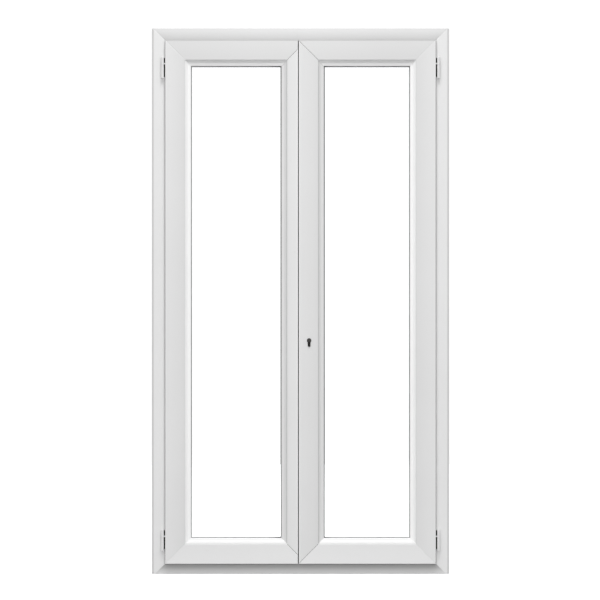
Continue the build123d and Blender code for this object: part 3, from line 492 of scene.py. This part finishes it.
def add_box(shape, low, high):
    """A box between two corners, with softened edges."""
    made = bmesh.ops.create_cube(shape, size=1.0)["verts"]
    middle = (Vector(low) + Vector(high)) / 2
    for vert in made:
        vert.co = middle + Vector([c * (h - l) for c, l, h in zip(vert.co, low, high)])
    edges = {edge for vert in made for edge in vert.link_edges}
    thinnest = min(h - l for l, h in zip(low, high))
    softening = thinnest * BOX_SOFTENING
    bmesh.ops.bevel(shape, geom=list(edges), offset=softening, segments=2, affect="EDGES")


# ---------------------------------------------------------------- screw heads

HEAD_SIDES = 48
CROSS_REACH = 2.3 * MM                               # from the screw's middle to an arm's end
CROSS_HALF_WIDTH = 0.55 * MM
CROSS_DEPTH = 1.3 * MM
CROSS_TAPER = 0.6                                    # the recess's size at its bottom
RIM_DROP = 0.25 * MM
RIM_ROUNDING = 0.3 * MM
SINK_SLOPE = 0.85                                    # radius that a sunk head loses with its depth
COUNTERSUNK = {"radius": 3.6 * MM, "proud": -0.15 * MM, "depth": 2.0 * MM}
PAN = {"radius": 4.0 * MM, "proud": 2.0 * MM, "depth": 0.0}

FACEPLATE_SCREW_Z = (130, 560, 880, 1100, 1600, 2070)    # mm
STRIKER_SCREW_REACH = 34 * MM                        # from the striker's middle, up and down
BOLT_PLATE_LENGTH = 260 * MM
BOLT_PLATE_SCREW_INSET = 14 * MM
KEEP_SCREW_X = (-17, 34)                             # mm


def cross_radius(step):
    """Radius of a cross recess at a step round it."""
    quarter = math.pi / 2
    angle = (2 * math.pi * step / HEAD_SIDES) % quarter
    from_arm = math.sin(min(angle, quarter - angle))
    if from_arm * CROSS_REACH <= CROSS_HALF_WIDTH:
        return CROSS_REACH
    return CROSS_HALF_WIDTH / from_arm


def add_screw_head(shape, place, axis, radius, proud, depth):
    """A cross-recessed head. A pan head stands proud of the face, and a countersunk one is sunk."""
    foot_radius = radius if proud > 0 else radius - depth * SINK_SLOPE
    recess = [cross_radius(step) for step in range(HEAD_SIDES)]
    head = bmesh.new()
    skin_rings(head, [
        ring(head, [foot_radius] * HEAD_SIDES, -depth),
        ring(head, [radius] * HEAD_SIDES, proud - RIM_DROP),
        ring(head, [radius - RIM_ROUNDING] * HEAD_SIDES, proud),
        ring(head, recess, proud),
        ring(head, [reach * CROSS_TAPER for reach in recess], proud - CROSS_DEPTH),
    ])
    add_turned(shape, head, place, axis)


def screws(name, body, places, axis, kind):
    """One piece of screw heads that all face the same way."""
    shape = bmesh.new()
    for place in places:
        add_screw_head(shape, place, axis, **kind)
    bmesh.ops.recalc_face_normals(shape, faces=shape.faces)
    piece(name, shape, ZINC, body)


def hardware_screws():
    """Screws of the faceplate, of the striker and the bolt plates, and of the two keeps."""
    plate_low, plate_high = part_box("lock_faceplate")
    groove_y = (plate_low[1] + plate_high[1]) / 2
    plate_places = [(plate_low[0], groove_y, z * MM) for z in FACEPLATE_SCREW_Z]
    screws("faceplate_screws", "right_leaf", plate_places, (-1, 0, 0), COUNTERSUNK)

    striker_low, striker_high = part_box("lock_striker")
    striker_z = (striker_low[2] + striker_high[2]) / 2
    bolts_low, bolts_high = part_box("left_bolt_plates")
    left_z = [striker_z - STRIKER_SCREW_REACH, striker_z + STRIKER_SCREW_REACH]
    for foot in (bolts_low[2], bolts_high[2] - BOLT_PLATE_LENGTH):
        left_z += [foot + BOLT_PLATE_SCREW_INSET, foot + BOLT_PLATE_LENGTH - BOLT_PLATE_SCREW_INSET]
    left_places = [(striker_high[0], groove_y, z) for z in left_z]
    screws("left_edge_screws", "left_leaf", left_places, (1, 0, 0), COUNTERSUNK)

    for name, way in (("head_keep", -1), ("sill_keep", 1)):
        keep_low, keep_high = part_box(name)
        face = keep_low[2] if way < 0 else keep_high[2]
        places = [(x * MM, groove_y, face) for x in KEEP_SCREW_X]
        screws(f"{name}_screws", "frame", places, (0, 0, way), PAN)


# ---------------------------------------------------------------- painted shade in grooves, slots and gaps, and caps

# the painted shade strips in the weld grooves:
GROOVE_SHADE_SECTION = ((-0.75, 0.40), (0.75, 0.40), (0.0, 0.68))    # (across, depth) in mm
GROOVE_SHADE_START = 1 * MM                                  # in from the beads' corner
GROOVE_SHADE_STOP = 2 * MM                                   # short of the leaf's edge

HINGE_FEET = (93 * MM, 1997 * MM)                    # bottoms of the barrels, above the base
# the painted shade boxes in the hinge slots:
HINGE_SHADE_X = (-0.7 * MM, 7.4 * MM)                     # from the leaf's edge, outwards
HINGE_SHADE_Y = (0.6 * MM, 2.2 * MM)                      # behind the frame's face
HINGE_SHADE_Z = (6.3 * MM, 82.7 * MM)                     # above the hinge's foot

# the black strips of painted shade in the gaps round the leaves:
GAP_SHADE_REACH = 1.9 * MM                             # out from the leaf's edge
GAP_SHADE_GAP = 1 * MM                                 # at each end of the one on the bottom edge
MEETING_GAP_SHADE_REACH = 2.4 * MM
MEETING_GAP_SHADE_GAP = 2 * MM                         # at each end of it
GAP_SHADE_Y = (-1.5 * MM, -0.1 * MM)                   # from the lip seal's face

JAMB_TO_REBATE = 63.5 * MM                           # from the frame's outer edge
FIXING_DEPTH = 39 * MM                               # behind the frame's face
FIXING_Z = (200, 800, 1400, 2000)                    # mm
CAP_RADIUS = 7.5 * MM
CAP_HEIGHT = 2.2 * MM
CAP_SIDES = 32
CAP_STEPS = 5
DOME_STEP = math.pi / 10


def painted_groove_shades(side, meeting, outward):
    """Dark strips in the grooves of the welded corners beside the meeting line: painted shade in the
    grooves.
    """
    way = -outward
    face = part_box(f"{side}_{meeting}_stile")[0][1]
    bead_low, bead_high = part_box(f"{side}_rail_beads")
    start = bead_high[0] if way > 0 else bead_low[0]
    reach = abs(MEETING_EDGES[side] - start) - GROOVE_SHADE_STOP
    shape = bmesh.new()
    for corner_z, up in ((bead_high[2], 1), (bead_low[2], -1)):
        corner = Vector((start, face, corner_z))
        along = Vector((way, 0.0, up)).normalized()
        across = Vector((-up * way, 0.0, 1.0)).normalized()
        skin_rings(shape, [
            [
                shape.verts.new(corner + along * travel + across * a * MM + Vector((0.0, d * MM, 0.0)))
                for a, d in GROOVE_SHADE_SECTION
            ]
            for travel in (GROOVE_SHADE_START, reach * math.sqrt(2))
        ])
    bmesh.ops.recalc_face_normals(shape, faces=shape.faces)
    piece(f"{side}_painted_groove_shades", shape, GROOVE_SHADE, f"{side}_leaf")


def hinge_slot_shade(side, outward):
    """Black boxes behind the hinge barrels: painted shade that makes the slot between each barrel and
    the leaf's edge black.
    """
    low_x, high_x = sorted(outward * (LEAF_EDGE + x) for x in HINGE_SHADE_X)
    shape = bmesh.new()
    for foot in HINGE_FEET:
        low = (low_x, FRAME_FACE + HINGE_SHADE_Y[0], foot + HINGE_SHADE_Z[0])
        high = (high_x, FRAME_FACE + HINGE_SHADE_Y[1], foot + HINGE_SHADE_Z[1])
        add_box(shape, low, high)
    piece(f"{side}_hinge_slot_shade", shape, SLOT_SHADE_BLACK, "frame")


def gap_shade_strips(side, outward):
    """Black strips along a leaf's hinge and bottom edges, and the left leaf's meeting edge, in front
    of its lip seal: painted shade in the gaps.
    """
    foot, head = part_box(f"{side}_hinge_stile")
    front, back = (LIP_SEAL_FACE + y for y in GAP_SHADE_Y)
    shape = bmesh.new()
    low_x, high_x = sorted((outward * LEAF_EDGE, outward * (LEAF_EDGE + GAP_SHADE_REACH)))
    add_box(shape, (low_x, front, foot[2]), (high_x, back, head[2]))
    low_x, high_x = sorted((MEETING_EDGES[side], outward * LEAF_EDGE))
    low = (low_x + GAP_SHADE_GAP, front, foot[2] - GAP_SHADE_REACH)
    add_box(shape, low, (high_x - GAP_SHADE_GAP, back, foot[2]))
    if side == "left":
        edge = MEETING_EDGES["left"]
        low = (edge, front, foot[2] + MEETING_GAP_SHADE_GAP)
        add_box(shape, low, (edge + MEETING_GAP_SHADE_REACH, back, head[2] - MEETING_GAP_SHADE_GAP))
    piece(f"{side}_gap_shade_strips", shape, LEAF_SEAL, f"{side}_leaf")


def add_cap(shape, place, axis):
    """A low domed cap, closed underneath, standing on a face."""
    cap = bmesh.new()
    angles = [step * DOME_STEP for step in range(CAP_STEPS)]
    skin_rings(cap, [
        ring(cap, [CAP_RADIUS * math.cos(angle)] * CAP_SIDES, CAP_HEIGHT * math.sin(angle))
        for angle in angles
    ])
    add_turned(shape, cap, place, axis)


def fixing_caps():
    """Caps over the heads of the frame's fixing screws, in the rebate."""
    rebate_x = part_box("frame_right_jamb")[1][0] - JAMB_TO_REBATE
    shape = bmesh.new()
    for way in (-1, 1):
        for z in FIXING_Z:
            place = (way * rebate_x, FRAME_FACE + FIXING_DEPTH, z * MM)
            add_cap(shape, place, (-way, 0, 0))
    bmesh.ops.recalc_face_normals(shape, faces=shape.faces)
    piece("fixing_caps", shape, NYLON, "frame")


# ---------------------------------------------------------------- studio and camera

WINDOW_MIDDLE = (0.0, 0.0, 1.1)
BACKDROP_STRENGTH = 1.12
# how strongly the studio's walls fill the shade: (axis, sign, strength) of each way that a ray points
FILL = (("Y", -1, 0.78), ("Y", 1, 0.60), ("Z", 1, 1.8), ("X", 1, 0.35), ("X", -1, 0.35))

FLOOR_RADIUS = 6.0
FLOOR_DROP = 0.5 * MM                                # below the window's foot
CAMERA_DISTANCE = 9.0
LENS_MM = 134.2
SENSOR_MM = 36.0
FRAMING = (-2 * MM, 4 * MM)                          # the photo's middle, from the window's


def area_light(name, place, aim, size, power):
    """A rectangular lamp that shiny surfaces don't mirror."""
    data = bpy.data.lights.new(name, "AREA")
    data.shape = "RECTANGLE"
    data.size, data.size_y = size
    data.energy = power
    lamp = bpy.data.objects.new(name, data)
    bpy.context.scene.collection.objects.link(lamp)
    lamp.location = place
    lamp.rotation_euler = (Vector(aim) - Vector(place)).to_track_quat("-Z", "Y").to_euler()
    lamp.visible_glossy = False
    return lamp


def fill_strength(tree):
    """The fill against direction: each way's share is the square of how far a ray points that way."""
    place = node(tree, "ShaderNodeTexCoord")
    split = node(tree, "ShaderNodeSeparateXYZ")
    tree.links.new(place.outputs["Generated"], split.inputs["Vector"])
    total = None
    for axis, sign, strength in FILL:
        toward = node(tree, "ShaderNodeMath", operation="MULTIPLY", use_clamp=True)
        toward.inputs[1].default_value = sign
        tree.links.new(split.outputs[axis], toward.inputs[0])
        square = node(tree, "ShaderNodeMath", operation="POWER")
        square.inputs[1].default_value = 2.0
        tree.links.new(toward.outputs["Value"], square.inputs[0])
        share = node(tree, "ShaderNodeMath", operation="MULTIPLY_ADD")
        share.inputs[1].default_value = strength
        share.inputs[2].default_value = 0.0
        tree.links.new(square.outputs["Value"], share.inputs[0])
        if total:
            tree.links.new(total, share.inputs[2])
        total = share.outputs["Value"]
    return total


def surroundings():
    """A white backdrop that is seen straight or through glass, and a softer fill for the rest."""
    scene = bpy.context.scene
    scene.view_settings.view_transform = "Standard"
    world = bpy.data.worlds.new("studio")
    scene.world = world
    world.use_nodes = True
    tree = world.node_tree
    backdrop = tree.nodes["Background"]
    backdrop.inputs["Color"].default_value = (*WHITE, 1.0)
    backdrop.inputs["Strength"].default_value = BACKDROP_STRENGTH
    fill = node(tree, "ShaderNodeBackground")
    fill.inputs["Color"].default_value = (*WHITE, 1.0)
    tree.links.new(fill_strength(tree), fill.inputs["Strength"])
    rays = node(tree, "ShaderNodeLightPath")
    seen = node(tree, "ShaderNodeMath", operation="MAXIMUM")
    tree.links.new(rays.outputs["Is Camera Ray"], seen.inputs[0])
    tree.links.new(rays.outputs["Is Transmission Ray"], seen.inputs[1])
    pick = node(tree, "ShaderNodeMixShader")
    tree.links.new(seen.outputs["Value"], pick.inputs["Fac"])
    tree.links.new(fill.outputs["Background"], pick.inputs[1])
    tree.links.new(backdrop.outputs["Background"], pick.inputs[2])
    tree.links.new(pick.outputs["Shader"], tree.nodes["World Output"].inputs["Surface"])


def lamps():
    """A high key on the room side, a weak upright strip before the window and a key behind it."""
    area_light("high_key", (0.0, -2.5, 7.0), WINDOW_MIDDLE, (2.4, 1.0), 150.0)
    strip = area_light("strip", (0.0, -1.3, 1.3), (0.0, 0.0, 1.2), (0.12, 2.6), 2.8)
    strip.visible_camera = False
    area_light("back_key", (1.5, 4.0, 3.6), WINDOW_MIDDLE, (2.4, 2.0), 100.0)


def floor():
    """A pale floor that runs out into the white backdrop."""
    mesh = bpy.data.meshes.new("floor")
    shape = bmesh.new()
    bmesh.ops.create_circle(shape, cap_ends=True, segments=96, radius=FLOOR_RADIUS)
    shape.to_mesh(mesh)
    shape.free()
    ground = bpy.data.objects.new("floor", mesh)
    bpy.context.scene.collection.objects.link(ground)
    ground.location.z = CAD_BOX[0][2] - FLOOR_DROP
    ground.visible_diffuse = False
    material, _, shader = start_material("pale_floor")
    shader.inputs["Base Color"].default_value = (0.93, 0.93, 0.93, 1.0)
    shader.inputs["Roughness"].default_value = 0.8
    shader.inputs["Emission Color"].default_value = (*WHITE, 1.0)
    shader.inputs["Emission Strength"].default_value = 0.45
    mesh.materials.append(material)


def camera():
    """Level and square to the window, at half its height."""
    low, high = CAD_BOX
    data = bpy.data.cameras.new("camera")
    data.sensor_width = SENSOR_MM
    data.lens = LENS_MM
    eye = bpy.data.objects.new("camera", data)
    bpy.context.scene.collection.objects.link(eye)
    sash_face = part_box("right_lock_stile")[0][1]
    eye.location = (
        (low[0] + high[0]) / 2 + FRAMING[0],
        sash_face - CAMERA_DISTANCE,
        MIDDLE_Z + FRAMING[1],
    )
    eye.rotation_euler = (math.radians(90.0), 0.0, 0.0)
    bpy.context.scene.camera = eye


# ---------------------------------------------------------------- the window, then its studio

for name, slot_name in SLOTS.items():
    dress(name, BY_SLOT[slot_name])
dress("cylinder_plug", PLUG)
for name in ("left_leaf_seals", "right_leaf_seal"):
    dress(name, LEAF_SEAL)
dress_frame()
for side, meeting, _ in LEAVES:
    dress_leaf(side, meeting)

hardware_screws()
for side, meeting, outward in LEAVES:
    painted_groove_shades(side, meeting, outward)
for side, _, outward in LEAVES:
    hinge_slot_shade(side, outward)
for side, _, outward in LEAVES:
    gap_shade_strips(side, outward)
fixing_caps()

surroundings()
lamps()
floor()
camera()
